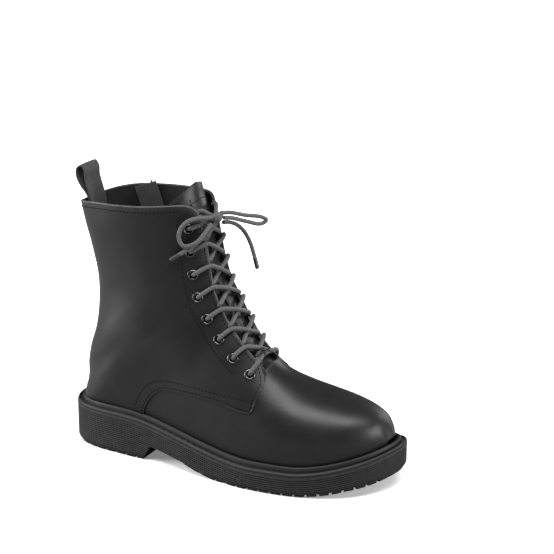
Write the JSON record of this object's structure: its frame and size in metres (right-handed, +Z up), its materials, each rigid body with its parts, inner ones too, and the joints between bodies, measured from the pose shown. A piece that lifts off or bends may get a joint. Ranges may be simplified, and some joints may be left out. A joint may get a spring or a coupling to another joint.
{
  "type": "combat boot",
  "caption": "Black lace-up combat boot for the right foot with a ribbed sole, side zip and heel pull loop.",
  "frame": {"origin": "middle of the boot's bounding box seen from above, on the floor; the cord nodes are left out of the box", "axes": "+X from heel to toe, +Y towards the inner side of the foot (the zip), +Z up"},
  "size_m": [0.2878, 0.1022, 0.2341],
  "materials": {
    "outsole": "matt",
    "welt": "satin",
    "insole": "matt",
    "upper": "satin",
    "tongue": "satin",
    "tongue_keeper": "satin",
    "pull_loop": "matt",
    "zip_tape": "matt",
    "zip_slider": "gloss",
    "zip_pull_ring": "gloss",
    "zip_pull_tab": "satin",
    "eyelet": "gloss",
    "lace": "matt"
  },
  "bodies": {
    "boot": {"outsole": "outsole", "welt": "welt", "insole": "insole", "upper": "upper", "tongue": "tongue", "tongue_keeper": "tongue_keeper", "pull_loop": "pull_loop", "zip_tape": "zip_tape", "zip_slider": "zip_slider", "eyelet_outer_1": "eyelet", "eyelet_inner_1": "eyelet", "eyelet_outer_2": "eyelet", "eyelet_inner_2": "eyelet", "eyelet_outer_3": "eyelet", "eyelet_inner_3": "eyelet", "eyelet_outer_4": "eyelet", "eyelet_inner_4": "eyelet", "eyelet_outer_5": "eyelet", "eyelet_inner_5": "eyelet", "eyelet_outer_6": "eyelet", "eyelet_inner_6": "eyelet", "eyelet_outer_7": "eyelet", "eyelet_inner_7": "eyelet", "eyelet_outer_8": "eyelet", "eyelet_inner_8": "eyelet", "lace_cross_1": "lace", "lace_cross_2": "lace", "lace_cross_3": "lace", "lace_cross_4": "lace", "lace_cross_5": "lace", "lace_cross_6": "lace", "lace_cross_7": "lace", "lace_bar": "lace", "lace_knot": "lace", "lace_loop_outer": "lace", "lace_end_outer": "lace", "lace_loop_inner": "lace", "lace_end_inner": "lace"},
    "zip_pull": {"zip_pull_ring": "zip_pull_ring", "zip_pull_tab": "zip_pull_tab"}
  },
  "joints": [
    {"name": "zip_pull_hinge", "type": "hinge", "parent": "boot", "child": "zip_pull", "pos_m": [-0.09631, 0.0357, 0.20525], "axis": [0.9225, 0.1951, 0.3331], "range_deg": [0, 150]}
  ]
}
